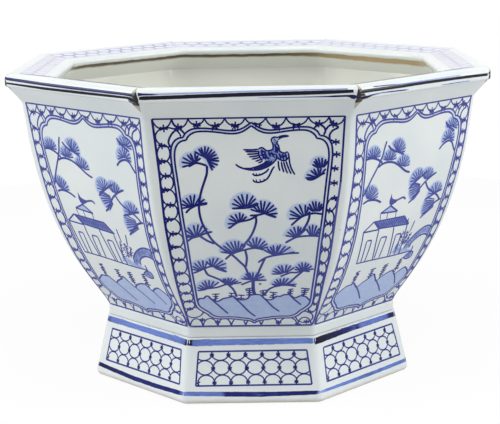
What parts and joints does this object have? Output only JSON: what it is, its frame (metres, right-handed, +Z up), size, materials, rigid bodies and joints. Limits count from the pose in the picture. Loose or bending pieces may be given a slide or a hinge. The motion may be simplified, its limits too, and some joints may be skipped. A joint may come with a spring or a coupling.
{
  "type": "octagonal planter",
  "caption": "Octagonal slab-built porcelain planter with a wide mitred rim, curved walls tapering to a waist, a flared foot and a drain hole in the floor.",
  "frame": {"origin": "middle of the footprint, on the ground", "axes": "+Z up through the middle of the mouth, front side facing -Y, +X to the right of the front"},
  "size_m": [0.4, 0.4, 0.27],
  "materials": {
    "white_glaze": "clear gloss glaze over white porcelain, with cobalt decoration",
    "rim_glaze": "clear gloss glaze, with a dark blue band on the edge",
    "foot_glaze": "clear gloss glaze, with the standing edge left bare",
    "floor_glaze": "clear gloss glaze",
    "inside_glaze": "clear gloss glaze",
    "cobalt_decoration": "cobalt blue painting and transfers under gloss glaze"
  },
  "bodies": {
    "root": {"floor_slab": "floor_glaze", "foot_slab_front": "foot_glaze", "wall_slab_front": "white_glaze", "rim_slab_front": "rim_glaze", "luting_coil_front_to_front_right": "inside_glaze", "foot_slab_front_right": "foot_glaze", "wall_slab_front_right": "white_glaze", "rim_slab_front_right": "rim_glaze", "luting_coil_front_right_to_right": "inside_glaze", "foot_slab_right": "foot_glaze", "wall_slab_right": "white_glaze", "rim_slab_right": "rim_glaze", "luting_coil_right_to_back_right": "inside_glaze", "foot_slab_back_right": "foot_glaze", "wall_slab_back_right": "white_glaze", "rim_slab_back_right": "rim_glaze", "luting_coil_back_right_to_back": "inside_glaze", "foot_slab_back": "foot_glaze", "wall_slab_back": "white_glaze", "rim_slab_back": "rim_glaze", "luting_coil_back_to_back_left": "inside_glaze", "foot_slab_back_left": "foot_glaze", "wall_slab_back_left": "white_glaze", "rim_slab_back_left": "rim_glaze", "luting_coil_back_left_to_left": "inside_glaze", "foot_slab_left": "foot_glaze", "wall_slab_left": "white_glaze", "rim_slab_left": "rim_glaze", "luting_coil_left_to_front_left": "inside_glaze", "foot_slab_front_left": "foot_glaze", "wall_slab_front_left": "white_glaze", "rim_slab_front_left": "rim_glaze", "luting_coil_front_left_to_front": "inside_glaze"}
  },
  "joints": []
}
